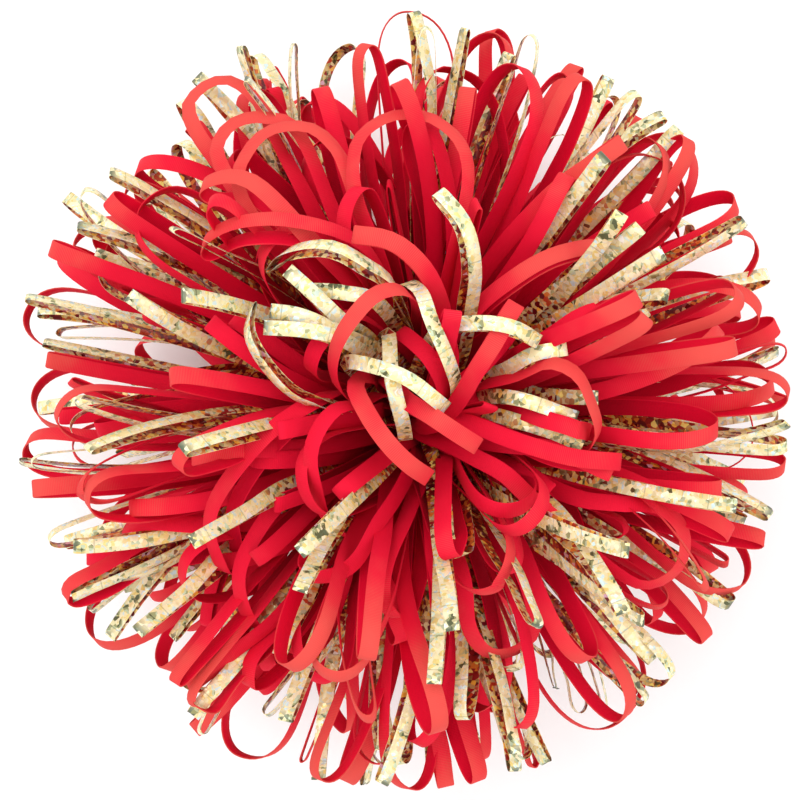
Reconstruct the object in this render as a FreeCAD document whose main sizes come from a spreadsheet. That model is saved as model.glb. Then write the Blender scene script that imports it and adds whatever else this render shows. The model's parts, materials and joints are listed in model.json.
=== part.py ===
import FreeCAD, Part
import math
import os
import Sketcher

# A hand-held cheerleading pom pom: a ball of uncut ribbon loops and foil strip loops,
# tied round a hub that turns on a short stick handle. Millimetres, +Z up along the handle.
# The origin is the centre of the handle's flat butt, where the pom pom stands on a table:
# the front of the ball faces up, and the lowest ring of loops rests on the table too.

DIMENSIONS = {
    # Ribbon and foil strip
    "ribbon_width": 6.35,
    "foil_width": 5.2,
    "red_thickness": 0.4,
    "gold_thickness": 0.3,
    "red_opening": 26.0,
    "gold_opening": 14.0,
    "root_opening": 0.8,
    # The ball: rings of loops like the ribs of a fan, from near the floor to the crown
    "knot_height": 116.0,
    "loop_reach": 150.5,
    "lowest_ring_angle": -49.0,
    "ring_step": 14.5,
    "ring_count": 10.0,
    "loops_round_middle": 26.0,
    "root_clearance": 0.3,
    # Crushed middles of the ribbons, squeezed by the tie
    "pack_radius": 27.0,
    "pack_bore": 8.3,
    "pack_seam": 0.1,
    "waist_radius": 21.0,
    "waist_half_width": 4.2,
    "crown_recess_radius": 10.4,
    "crown_recess_base": 137.0,
    # Stick handle
    "stick_base": 4.0,
    "stick_radius": 7.5,
    "stick_shoulder": 87.0,
    "spindle_radius": 6.0,
    "spindle_top": 138.9,
    "edge_break": 0.8,
    "slip_fit": 0.05,
    # Grip sleeve, butt cap and guard disc
    "butt_radius": 14.0,
    "butt_top": 12.0,
    "butt_edge": 1.5,
    "grip_radius": 12.5,
    "grip_base": 12.1,
    "grip_top": 84.0,
    "grip_groove_radius": 1.2,
    "grip_groove_pitch": 7.0,
    "grip_groove_first": 20.0,
    "guard_radius": 21.0,
    "guard_base": 84.1,
    "guard_top": 86.9,
    # Hub spool and its washers
    "washer_radius": 9.5,
    "washer_bore": 6.2,
    "lower_washer_top": 88.0,
    "spool_base": 88.2,
    "spool_flange_top": 90.0,
    "spool_flange_radius": 11.0,
    "spool_radius": 8.2,
    "spool_top": 137.7,
    "upper_washer_base": 137.8,
    "upper_washer_top": 138.8,
    "cover_washer_top": 140.1,
    # Retaining screw
    "screw_radius": 2.0,
    "screw_bore": 2.1,
    "screw_tip": 118.0,
    "screw_bore_floor": 115.0,
    "screw_head_radius": 4.2,
    "screw_head_top": 142.2,
    "screw_slot_width": 1.0,
    "screw_slot_depth": 0.9,
    # Cable tie and binding wire
    "tie_inner_radius": 21.2,
    "tie_thickness": 1.3,
    "tie_width": 4.8,
    "tie_head_length": 7.0,
    "tie_head_depth": 3.6,
    "tie_head_width": 6.6,
    "wire_radius": 0.55,
    "wire_ring_radius": 21.85,
    "wire_offset": 3.3,
}

doc = FreeCAD.newDocument("pom_pom")


def fill_sheet():
    """The driving dimensions, one row each: the name, then the value under its alias."""
    sheet = doc.addObject("Spreadsheet::Sheet", "Dims")
    for row, (name, value) in enumerate(DIMENSIONS.items(), start=1):
        sheet.set("A%d" % row, name)
        sheet.set("B%d" % row, str(value))
        sheet.setAlias("B%d" % row, name)
    doc.recompute()
    return sheet


sheet = fill_sheet()


def size(name):
    """A driving dimension as the sheet holds it."""
    return float(getattr(sheet, name))


def total(terms):
    """The sum of several driving dimensions; a leading minus takes one away."""
    return sum(-size(t[1:]) if t.startswith("-") else size(t) for t in terms)


def formula(terms):
    """The same sum as an expression that follows the sheet."""
    return " + ".join("-Dims.%s" % t[1:] if t.startswith("-") else "Dims.%s" % t for t in terms)


def origin_plane(body, role):
    """One of a body's own origin planes."""
    return next(f for f in body.Origin.OriginFeatures if f.Role == role)


def new_sketch(body, name, role):
    """A sketch on one of the body's origin planes."""
    sketch = body.newObject("Sketcher::SketchObject", name)
    sketch.AttachmentSupport = (origin_plane(body, role), [""])
    sketch.MapMode = "FlatFace"
    return sketch


def pin_coordinate(sketch, kind, edge, point, terms):
    """Holds one coordinate of a sketch point to a sum of driving dimensions."""
    if not terms:
        axis = -2 if kind == "DistanceX" else -1
        sketch.addConstraint(Sketcher.Constraint("PointOnObject", edge, point, axis))
        return
    row = sketch.addConstraint(Sketcher.Constraint(kind, -1, 1, edge, point, total(terms)))
    sketch.setExpression("Constraints[%d]" % row, formula(terms))


def outline(sketch, corners):
    """A closed outline of straight lines, each corner given as (radius terms, height terms)."""
    places = [FreeCAD.Vector(total(r), total(z), 0) for r, z in corners]
    lines = [Part.LineSegment(a, b) for a, b in zip(places, places[1:] + places[:1])]
    sketch.addGeometry(lines, False)
    count = len(lines)
    for i in range(count):
        sketch.addConstraint(Sketcher.Constraint("Coincident", i, 2, (i + 1) % count, 1))
    for i, (r, z) in enumerate(corners):
        pin_coordinate(sketch, "DistanceX", i, 1, r)
        pin_coordinate(sketch, "DistanceY", i, 1, z)


def turned_body(label, corners):
    """A piece turned about the handle's axis from its half section."""
    body = doc.addObject("PartDesign::Body", label)
    body.Label = label
    sketch = new_sketch(body, label + "_section", "XZ_Plane")
    outline(sketch, corners)
    turn = body.newObject("PartDesign::Revolution", label + "_turn")
    turn.Profile = sketch
    turn.ReferenceAxis = (sketch, ["V_Axis"])
    turn.Angle = 360.0
    doc.recompute()
    return body


def ring_section(inner, outer, base, top):
    """The half section of a plain ring or washer."""
    return [(inner, base), (outer, base), (outer, top), (inner, top)]


def handle_core():
    """The moulded stick: thick under the grip, thinner where the hub turns, drilled for the screw."""
    return turned_body("handle_core", [
        ([], ["stick_base"]),
        (["stick_radius", "-edge_break"], ["stick_base"]),
        (["stick_radius"], ["stick_base", "edge_break"]),
        (["stick_radius"], ["stick_shoulder"]),
        (["spindle_radius"], ["stick_shoulder"]),
        (["spindle_radius"], ["spindle_top"]),
        (["screw_bore"], ["spindle_top"]),
        (["screw_bore"], ["screw_bore_floor"]),
        ([], ["screw_bore_floor"]),
    ])


def butt_cap():
    """The cap pushed on the stick's lower end; its flat face stands on the table."""
    bore = ["stick_radius", "slip_fit"]
    return turned_body("butt_cap", [
        ([], []),
        (["butt_radius", "-butt_edge"], []),
        (["butt_radius"], ["butt_edge"]),
        (["butt_radius"], ["butt_top"]),
        (bore, ["butt_top"]),
        (bore, ["stick_base", "-slip_fit"]),
        ([], ["stick_base", "-slip_fit"]),
    ])


def grip_sleeve():
    """The soft sleeve that the hand holds, with finger grooves turned round it."""
    bore = ["stick_radius", "slip_fit"]
    body = turned_body("grip_sleeve", ring_section(bore, ["grip_radius"], ["grip_base"], ["grip_top"]))
    sketch = new_sketch(body, "grip_groove_section", "XZ_Plane")
    centre = FreeCAD.Vector(size("grip_radius"), size("grip_groove_first"), 0)
    sketch.addGeometry(Part.Circle(centre, FreeCAD.Vector(0, 0, 1), size("grip_groove_radius")), False)
    pin_coordinate(sketch, "DistanceX", 0, 3, ["grip_radius"])
    pin_coordinate(sketch, "DistanceY", 0, 3, ["grip_groove_first"])
    row = sketch.addConstraint(Sketcher.Constraint("Radius", 0, size("grip_groove_radius")))
    sketch.setExpression("Constraints[%d]" % row, formula(["grip_groove_radius"]))
    doc.recompute()
    groove = body.newObject("PartDesign::Groove", "grip_groove")
    groove.Profile = sketch
    groove.ReferenceAxis = (sketch, ["V_Axis"])
    groove.Angle = 360.0
    doc.recompute()
    grooves = body.newObject("PartDesign::LinearPattern", "grip_grooves")
    grooves.Originals = [groove]
    grooves.Direction = (sketch, ["V_Axis"])
    room = size("grip_top") - size("grip_groove_first") - size("grip_groove_pitch")
    steps = int(room // size("grip_groove_pitch"))
    grooves.Occurrences = steps + 1
    grooves.Length = steps * size("grip_groove_pitch")
    grooves.setExpression("Length", "%d * Dims.grip_groove_pitch" % steps)
    body.Tip = grooves
    doc.recompute()
    return body


def guard_disc():
    """The disc that keeps the hand away from the turning ball."""
    bore = ["stick_radius", "slip_fit"]
    return turned_body("guard_disc", [
        (bore, ["guard_base"]),
        (["guard_radius", "-edge_break"], ["guard_base"]),
        (["guard_radius"], ["guard_base", "edge_break"]),
        (["guard_radius"], ["guard_top", "-edge_break"]),
        (["guard_radius", "-edge_break"], ["guard_top"]),
        (bore, ["guard_top"]),
    ])


def hub_spool():
    """The sleeve that turns on the spindle; the ribbons are bound round it."""
    bore = ["spindle_radius", "slip_fit"]
    return turned_body("hub_spool", [
        (bore, ["spool_base"]),
        (["spool_flange_radius"], ["spool_base"]),
        (["spool_flange_radius"], ["spool_flange_top"]),
        (["spool_radius"], ["spool_flange_top"]),
        (["spool_radius"], ["spool_top"]),
        (bore, ["spool_top"]),
    ])


def washer(label, bore, base, top):
    """A flat washer as a tube cut from two cylinders."""
    disc = doc.addObject("Part::Cylinder", label + "_disc")
    disc.setExpression("Radius", formula(["washer_radius"]))
    disc.setExpression("Height", formula([top, "-" + base]))
    hole = doc.addObject("Part::Cylinder", label + "_hole")
    hole.setExpression("Radius", formula([bore]))
    hole.setExpression("Height", formula([top, "-" + base]))
    ring = doc.addObject("Part::Cut", label)
    ring.Base = disc
    ring.Tool = hole
    ring.Label = label
    ring.setExpression("Placement.Base.z", formula([base]))
    doc.recompute()
    return ring


def retaining_screw():
    """The slotted screw that holds the cover washer, and so the hub, on the spindle."""
    body = turned_body("retaining_screw", [
        ([], ["screw_tip"]),
        (["screw_radius", "-edge_break"], ["screw_tip"]),
        (["screw_radius"], ["screw_tip", "edge_break"]),
        (["screw_radius"], ["cover_washer_top"]),
        (["screw_head_radius"], ["cover_washer_top"]),
        (["screw_head_radius"], ["screw_head_top", "-edge_break"]),
        (["screw_head_radius", "-edge_break"], ["screw_head_top"]),
        ([], ["screw_head_top"]),
    ])
    whole = body.Shape.Volume
    sketch = new_sketch(body, "screw_slot_outline", "XY_Plane")
    sketch.setExpression("AttachmentOffset.Base.z", formula(["screw_head_top"]))
    along = size("screw_head_radius") + 1.0
    across = size("screw_slot_width") / 2
    ends = [(-along, -across), (along, -across), (along, across), (-along, across)]
    places = [FreeCAD.Vector(x, y, 0) for x, y in ends]
    sketch.addGeometry([Part.LineSegment(a, b) for a, b in zip(places, places[1:] + places[:1])], False)
    for i in range(4):
        sketch.addConstraint(Sketcher.Constraint("Coincident", i, 2, (i + 1) % 4, 1))
    sketch.addConstraint(Sketcher.Constraint("Horizontal", 0))
    sketch.addConstraint(Sketcher.Constraint("Horizontal", 2))
    sketch.addConstraint(Sketcher.Constraint("Vertical", 1))
    sketch.addConstraint(Sketcher.Constraint("Vertical", 3))
    sketch.addConstraint(Sketcher.Constraint("Symmetric", 0, 1, 2, 1, -1, 1))
    row = sketch.addConstraint(Sketcher.Constraint("DistanceX", 0, 1, 0, 2, 2 * along))
    sketch.setExpression("Constraints[%d]" % row, "2 * Dims.screw_head_radius + 2")
    row = sketch.addConstraint(Sketcher.Constraint("DistanceY", 1, 1, 1, 2, 2 * across))
    sketch.setExpression("Constraints[%d]" % row, formula(["screw_slot_width"]))
    doc.recompute()
    slot = body.newObject("PartDesign::Pocket", "screw_slot")
    slot.Profile = sketch
    slot.setExpression("Length", formula(["screw_slot_depth"]))
    doc.recompute()
    if body.Shape.Volume >= whole:
        raise ValueError("the screw's slot cuts nothing")
    return body


def ribbon_pack(label, side):
    """Half of the mass of crushed ribbon round the hub: a bored half ball with the tie's waist cut in.

    side is 1 for the upper half and -1 for the lower half.
    """
    centre = FreeCAD.Vector(0, 0, size("knot_height"))
    ball = Part.makeSphere(size("pack_radius"), centre)
    reach = size("pack_radius") + 1.0
    low = size("knot_height") + (size("pack_seam") / 2 if side > 0 else -reach)
    half = Part.makeCylinder(reach, reach - size("pack_seam") / 2, FreeCAD.Vector(0, 0, low))
    bore = Part.makeCylinder(size("pack_bore"), 2 * reach, centre - FreeCAD.Vector(0, 0, reach))
    waist_low = centre - FreeCAD.Vector(0, 0, size("waist_half_width"))
    waist_ring = Part.makeCylinder(reach, 2 * size("waist_half_width"), waist_low).cut(
        Part.makeCylinder(size("waist_radius"), 2 * size("waist_half_width"), waist_low))
    recess_base = FreeCAD.Vector(0, 0, size("crown_recess_base"))
    recess = Part.makeCylinder(size("crown_recess_radius"), reach, recess_base)
    pack = doc.addObject("Part::Feature", label)
    pack.Label = label
    pack.Shape = ball.common(half).cut(bore).cut(waist_ring).cut(recess).Solids[0]
    pack.Placement = FreeCAD.Placement()
    return pack


def tie_strap():
    """The cable tie pulled round the ribbons' middles."""
    strap = doc.addObject("Part::Cut", "tie_strap")
    for name, terms in (("Base", ["tie_inner_radius", "tie_thickness"]), ("Tool", ["tie_inner_radius"])):
        drum = doc.addObject("Part::Cylinder", "tie_strap_" + name.lower())
        drum.setExpression("Radius", formula(terms))
        drum.setExpression("Height", formula(["tie_width"]))
        setattr(strap, name, drum)
    strap.Label = "tie_strap"
    strap.setExpression("Placement.Base.z", "Dims.knot_height - Dims.tie_width / 2")
    doc.recompute()
    return strap


def tie_head():
    """The cable tie's locking head, with the slot that the strap's end was pulled through."""
    block = doc.addObject("Part::Box", "tie_head_block")
    block.setExpression("Length", formula(["tie_head_depth"]))
    block.setExpression("Width", formula(["tie_head_length"]))
    block.setExpression("Height", formula(["tie_head_width"]))
    slot = doc.addObject("Part::Box", "tie_head_slot")
    slot.setExpression("Length", formula(["tie_thickness"]))
    slot.setExpression("Width", "Dims.tie_head_length + 2")
    slot.setExpression("Height", formula(["tie_width"]))
    slot.setExpression("Placement.Base.x", formula(["tie_thickness"]))
    slot.setExpression("Placement.Base.y", "-1")
    slot.setExpression("Placement.Base.z", "(Dims.tie_head_width - Dims.tie_width) / 2")
    head = doc.addObject("Part::Cut", "tie_head")
    head.Base = block
    head.Tool = slot
    head.Label = "tie_head"
    head.setExpression("Placement.Base.x", "Dims.tie_inner_radius + Dims.tie_thickness + Dims.slip_fit")
    head.setExpression("Placement.Base.y", "-Dims.tie_head_length / 2")
    head.setExpression("Placement.Base.z", "Dims.knot_height - Dims.tie_head_width / 2")
    doc.recompute()
    return head


def binding_wire():
    """Two turns of soft wire, one each side of the cable tie."""
    turns = doc.addObject("Part::Compound", "binding_wire")
    links = []
    for name, sign in (("lower", "-"), ("upper", "+")):
        ring = doc.addObject("Part::Torus", "wire_turn_" + name)
        ring.setExpression("Radius1", formula(["wire_ring_radius"]))
        ring.setExpression("Radius2", formula(["wire_radius"]))
        ring.setExpression("Placement.Base.z", "Dims.knot_height %s Dims.wire_offset" % sign)
        links.append(ring)
    turns.Links = links
    turns.Label = "binding_wire"
    doc.recompute()
    return turns


def teardrop(root_half, tip_centre, tip_radius, start, width):
    """A closed teardrop outline at the strip's lower edge: straight legs, tangent to the round tip."""
    edge = -width / 2
    far = tip_centre - start
    spread = math.hypot(far, root_half)
    lean = math.asin(tip_radius / spread) - math.atan2(root_half, far)
    touch_x = tip_centre - tip_radius * math.sin(lean)
    touch_y = tip_radius * math.cos(lean)
    root_left = FreeCAD.Vector(start, root_half, edge)
    root_right = FreeCAD.Vector(start, -root_half, edge)
    left = FreeCAD.Vector(touch_x, touch_y, edge)
    right = FreeCAD.Vector(touch_x, -touch_y, edge)
    tip = FreeCAD.Vector(tip_centre + tip_radius, 0, edge)
    return Part.Wire([
        Part.LineSegment(root_left, left).toShape(),
        Part.Arc(left, tip, right).toShape(),
        Part.LineSegment(right, root_right).toShape(),
        Part.LineSegment(root_right, root_left).toShape(),
    ])


def loop_solid(opening, thickness, width):
    """One loop of strip standing on edge, pointing along +X from the knot at the origin."""
    start = size("pack_radius") + size("root_clearance")
    root_half = size("root_opening") / 2
    tip_radius = opening / 2
    tip_centre = size("loop_reach") - tip_radius
    outer = teardrop(root_half + thickness, tip_centre, tip_radius, start, width)
    inner = teardrop(root_half, tip_centre, tip_radius - thickness, start + thickness, width)
    face = Part.Face(outer).cut(Part.Face(inner)).Faces[0]
    return face.extrude(FreeCAD.Vector(0, 0, width))


def ring_angle(ring):
    """How far a ring of loops points above the level, in degrees."""
    return size("lowest_ring_angle") + ring * size("ring_step")


def loops_in_ring(ring):
    """An even number of loops that keeps them equally far apart in every ring."""
    room = size("loops_round_middle") * math.cos(math.radians(ring_angle(ring)))
    return 2 * max(2, round(room / 2))


def loop_ring(label, ring, first, opening, thickness, width):
    """Every second loop of a ring, all of one strip; first is the first place that they take."""
    count = loops_in_ring(ring)
    strip = loop_solid(opening, thickness, width)
    up = FreeCAD.Rotation(FreeCAD.Vector(0, 1, 0), -ring_angle(ring))
    centre = FreeCAD.Vector(0, 0, size("knot_height"))
    loops = []
    for place in range(first, count, 2):
        around = FreeCAD.Rotation(FreeCAD.Vector(0, 0, 1), 360.0 * place / count)
        loop = strip.copy()
        loop.Placement = FreeCAD.Placement(centre, around.multiply(up))
        loops.append(loop)
    group = doc.addObject("Part::Feature", label)
    group.Label = label
    group.Shape = Part.makeCompound(loops)
    group.Placement = FreeCAD.Placement()
    return group


def ribbon_rings():
    """Every ring of the ball, from the floor to the crown: a red group and a gold group each.

    Red takes the even places in one ring and the odd places in the next.
    """
    groups = []
    for ring in range(int(size("ring_count"))):
        number = ring + 1
        red_first = ring % 2
        groups.append(loop_ring("red_loops_%02d" % number, ring, red_first, size("red_opening"),
                                size("red_thickness"), size("ribbon_width")))
        groups.append(loop_ring("gold_loops_%02d" % number, ring, 1 - red_first, size("gold_opening"),
                                size("gold_thickness"), size("foil_width")))
    return groups


def build():
    """Every piece of the pom pom."""
    pieces = [
        handle_core(),
        butt_cap(),
        grip_sleeve(),
        guard_disc(),
        hub_spool(),
        washer("lower_washer", "washer_bore", "stick_shoulder", "lower_washer_top"),
        washer("upper_washer", "washer_bore", "upper_washer_base", "upper_washer_top"),
        washer("cover_washer", "screw_bore", "spindle_top", "cover_washer_top"),
        retaining_screw(),
        ribbon_pack("lower_ribbon_pack", -1),
        ribbon_pack("upper_ribbon_pack", 1),
        tie_strap(),
        tie_head(),
        binding_wire(),
    ]
    return pieces + ribbon_rings()


def check(pieces):
    """Stops on any object that failed, or any piece without a sound shape."""
    for item in doc.Objects:
        if "Invalid" in item.State or "Error" in item.State:
            raise ValueError("%s failed: %s" % (item.Name, item.State))
    for piece in pieces:
        if piece.Shape.isNull() or not piece.Shape.isValid():
            raise ValueError("%s has no sound shape" % piece.Label)
        print("%-20s %3d solid(s) %10.1f mm3" % (piece.Label, len(piece.Shape.Solids), piece.Shape.Volume))


pieces = build()
doc.recompute()
check(pieces)
os.makedirs("parts", exist_ok=True)
for piece in pieces:
    piece.Shape.exportStep("parts/%s.step" % piece.Label)
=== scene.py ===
import json
import math
import random

import bpy
import numpy as np
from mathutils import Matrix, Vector
from mathutils.kdtree import KDTree


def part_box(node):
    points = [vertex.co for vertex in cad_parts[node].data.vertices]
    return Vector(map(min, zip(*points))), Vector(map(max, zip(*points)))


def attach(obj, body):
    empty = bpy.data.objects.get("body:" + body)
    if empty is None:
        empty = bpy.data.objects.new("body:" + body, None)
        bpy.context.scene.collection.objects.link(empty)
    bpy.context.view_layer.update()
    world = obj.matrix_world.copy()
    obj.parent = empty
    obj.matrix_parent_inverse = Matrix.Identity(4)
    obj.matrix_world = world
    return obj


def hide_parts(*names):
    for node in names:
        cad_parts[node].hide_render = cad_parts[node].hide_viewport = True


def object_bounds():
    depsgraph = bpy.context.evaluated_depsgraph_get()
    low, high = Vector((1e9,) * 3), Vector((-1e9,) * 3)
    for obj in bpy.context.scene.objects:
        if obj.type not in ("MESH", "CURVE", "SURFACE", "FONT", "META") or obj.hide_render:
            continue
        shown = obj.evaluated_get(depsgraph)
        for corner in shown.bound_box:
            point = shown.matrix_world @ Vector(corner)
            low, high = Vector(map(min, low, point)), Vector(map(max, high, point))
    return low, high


# The looks of a hand-held cheerleading pom pom: uncut loops of ribbed red ribbon and of gold foil
# strip round a tied knot, on a short stick handle. It stands on its butt with its front facing up,
# and the camera looks down on it.

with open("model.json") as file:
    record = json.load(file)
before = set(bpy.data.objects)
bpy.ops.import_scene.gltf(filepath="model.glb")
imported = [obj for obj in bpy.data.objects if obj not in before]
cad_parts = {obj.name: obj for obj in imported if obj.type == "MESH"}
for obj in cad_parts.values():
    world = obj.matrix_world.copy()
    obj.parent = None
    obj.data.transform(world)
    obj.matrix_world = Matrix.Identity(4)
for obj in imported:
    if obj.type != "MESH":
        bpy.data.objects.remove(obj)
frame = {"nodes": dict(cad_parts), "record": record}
cad_low, cad_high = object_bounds()

# ---------------------------------------------------------------- places and sizes

MM = 0.001
tie_low, tie_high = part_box("tie_strap")
KNOT = np.array((tie_low + tie_high) / 2)
REACH = (cad_high.x - cad_low.x) / 2
PACK_RADIUS = (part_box("upper_ribbon_pack")[1].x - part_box("upper_ribbon_pack")[0].x) / 2
# The knot's two halves reach this far from its middle, and leave this room for the tie
KNOT_HALF = 0.9 * PACK_RADIUS
TIE_HALF = 3 * MM
RED_WIDTH = 6.35 * MM
RED_THICKNESS = 0.6 * MM
GOLD_WIDTH = 5.2 * MM
GOLD_THICKNESS = 0.16 * MM
# The rings of loops are like latitudes, in degrees above the knot's level
RINGS = 10
LOWEST_RING = -49.0
RING_STEP = 14.5
LOOPS_ROUND_MIDDLE = 42
# How far the front's loops reach from the knot, in millimetres, and how far off centre they start
FRONT_REACH = 152.0
ROOT_OFFSET = np.array([10.0, -7.0, 0.0]) * MM
CAMERA_DISTANCE = 7.2 * REACH
# The widest that a loop may look from the camera, and the least height above the floor
WIDEST_REACH = 149.8 * MM
FLOOR_GAP = 0.4 * MM
# Steps along half of a loop and along its middle line
HALF_STEPS = 34
SPINE_STEPS = 48
# Loops are pushed apart in rounds, from this far out, until their strips have this clearance
SPREAD_ROUNDS = 10
SPREAD_FROM = 28 * MM
SPREAD_EASE = 20 * MM
LONGEST_PUSH = 2.0 * MM
STRIP_CLEARANCE = 4.2 * MM
FULL_TURN = 2 * math.pi
UP = np.array([0.0, 0.0, 1.0])
rng = random.Random(20)


def unit(v):
    """The same direction, one long."""
    return v / np.linalg.norm(v)


def unit_rows(rows):
    """The same directions, each one long."""
    return rows / np.linalg.norm(rows, axis=1)[:, None]


def square_to(rows, tangent):
    """Directions made square to a line's tangents, each one long."""
    return unit_rows(rows - tangent * np.sum(rows * tangent, axis=1)[:, None])


def turned(v, axis, angle):
    """v turned about a unit axis, by the right-hand rule."""
    c, s = math.cos(angle), math.sin(angle)
    return v * c + np.cross(axis, v) * s + axis * np.dot(axis, v) * (1 - c)


def direction(azimuth, elevation):
    """A unit vector, from degrees round the handle's axis and degrees above the level."""
    a, e = math.radians(azimuth), math.radians(elevation)
    return np.array([math.cos(e) * math.cos(a), math.cos(e) * math.sin(a), math.sin(e)])


# ---------------------------------------------------------------- one loop of strip

def half_profile(reach, tip, belly, belly_share):
    """Half a loop in its own plane, from the tip back to the root: points along and across.

    The strip turns mostly within a length tip of the loop's end, and the share belly_share of the
    turn is spread over the length belly. The legs lean together just enough to meet at the root.
    """
    crowding_at_tip = 1.6
    s = reach * np.linspace(0, 1, HALF_STEPS) ** crowding_at_tip
    bell = [np.exp(-(s / width) ** 2) for width in (tip, belly)]
    share = [np.concatenate([[0], np.cumsum((b[1:] + b[:-1]) / 2 * np.diff(s))]) for b in bell]
    share = [c / c[-1] for c in share]
    turn = (1 - belly_share) * share[0] + belly_share * share[1]

    def points(lean):
        heading = math.pi / 2 + (math.pi / 2 + lean) * turn
        middle = (heading[1:] + heading[:-1]) / 2
        x = np.concatenate([[0], np.cumsum(np.cos(middle) * np.diff(s))])
        y = np.concatenate([[0], np.cumsum(np.sin(middle) * np.diff(s))])
        return x, y

    low, high = 0.0, 1.2
    root_gap = 0.6 * MM
    halvings = 30
    for _ in range(halvings):
        lean = (low + high) / 2
        if points(lean)[1][-1] > root_gap:
            low = lean
        else:
            high = lean
    x, y = points(lean)
    scale = reach / -x[-1]
    return reach + x * scale, y * scale, s * scale


def bent_spine(root, start, end, reach, roll, twist, wave):
    """The middle line of a loop that leaves the knot one way and ends another way.

    Returns its points, the direction its flat face looks in and its width direction. start and end
    are its directions at the root and the tip, roll turns its flat face away from the plane it
    bends in, and twist turns it further on the way. wave bends it a little up and sideways: the
    size, start and rate of the one and then of the other.
    """
    rise, rise_start, rise_rate, sway, sway_start, sway_rate = wave
    lag = 1.3
    bend = math.acos(max(-1.0, min(1.0, float(np.dot(start, end)))))
    hinge, straight, another_way = np.cross(start, end), 1e-6, [0.3, 0.1, 1.0]
    hinge = unit(hinge) if np.linalg.norm(hinge) > straight else unit(np.cross(start, another_way))
    spine, fronts, sides = [np.array(root)], [], []
    for t in np.linspace(0, 1, SPINE_STEPS + 1):
        d = turned(start, hinge, bend * t ** lag + rise * math.sin(rise_start + rise_rate * t))
        aside = sway * math.sin(sway_start + sway_rate * t)
        front = np.cross(hinge, d)
        d = unit(d + hinge * aside)
        front = turned(unit(front - d * np.dot(front, d)), d, roll + twist * t)
        fronts.append(front)
        sides.append(np.cross(d, front))
        spine.append(spine[-1] + d * reach / SPINE_STEPS)
    return np.array(spine[:-1]), np.array(fronts), np.array(sides)


def smooth_line(marks, steps):
    """Points at even steps along a smooth curve through a few marks, and its length."""
    marks = np.array(marks, float)
    ends = np.concatenate([[2 * marks[0] - marks[1]], marks, [2 * marks[-1] - marks[-2]]])
    fine, steps_between = [], 24
    for p0, p1, p2, p3 in zip(ends, ends[1:], ends[2:], ends[3:]):
        for t in np.linspace(0, 1, steps_between, endpoint=False):
            fine.append(0.5 * (2 * p1 + (p2 - p0) * t + (2 * p0 - 5 * p1 + 4 * p2 - p3) * t ** 2
                               + (3 * p1 - p0 - 3 * p2 + p3) * t ** 3))
    fine.append(marks[-1])
    fine = np.array(fine)
    run = np.concatenate([[0], np.cumsum(np.linalg.norm(np.diff(fine, axis=0), axis=1))])
    even = np.linspace(0, run[-1], steps + 1)
    return np.stack([np.interp(even, run, fine[:, k]) for k in range(3)], 1), run[-1]


def facing_frames(line, facing):
    """Face and width directions along a line whose flat face looks roughly the given way."""
    tangent = unit_rows(np.gradient(line, axis=0))
    fronts = square_to(facing, tangent)
    return fronts, np.cross(tangent, fronts)


def doubled_back(spine, fronts, sides, reach, tip, belly, belly_share, opening, lopsided):
    """The strip's way out along a middle line and back: points, width directions and length run.

    lopsided makes one leg stand further from the middle line than the other.
    """
    along, across, length = half_profile(reach, tip, belly, belly_share)
    across = across * (opening / 2 / across.max())
    stations = np.linspace(0, 1, len(spine))

    def place(x, y):
        t = np.clip(x / reach, 0, 1)
        at = [np.stack([np.interp(t, stations, f[:, k]) for k in range(3)], 1)
              for f in (spine, fronts, sides)]
        return at[0] + at[1] * y[:, None], at[2]

    out_points, out_sides = place(along[::-1], across[::-1] * (1 + lopsided))
    back_points, back_sides = place(along[1:], -across[1:] * (1 - lopsided))
    points = np.concatenate([out_points, back_points])
    turned_sides = np.concatenate([out_sides, back_sides])
    run = np.concatenate([length[-1] - length[::-1], length[-1] + length[1:]])
    return points, turned_sides, run


def strip_section(width, thickness, edge):
    """The strip's cross-section: points across and through it, with softened edges."""
    half, deep, dished = width / 2, thickness / 2, 0.9
    upper = [(-half + edge, deep), (0, deep * dished), (half - edge, deep)]
    lower = [(a, -b) for a, b in reversed(upper)]
    return [(-half, 0), *upper, (half, 0), *lower]


def add_value(mesh, name, domain, values):
    """A named number for each point or face of a mesh, which the materials read."""
    layer = mesh.attributes.new(name, "FLOAT", domain)
    layer.data.foreach_set("value", np.array(values, np.float32))


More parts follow.
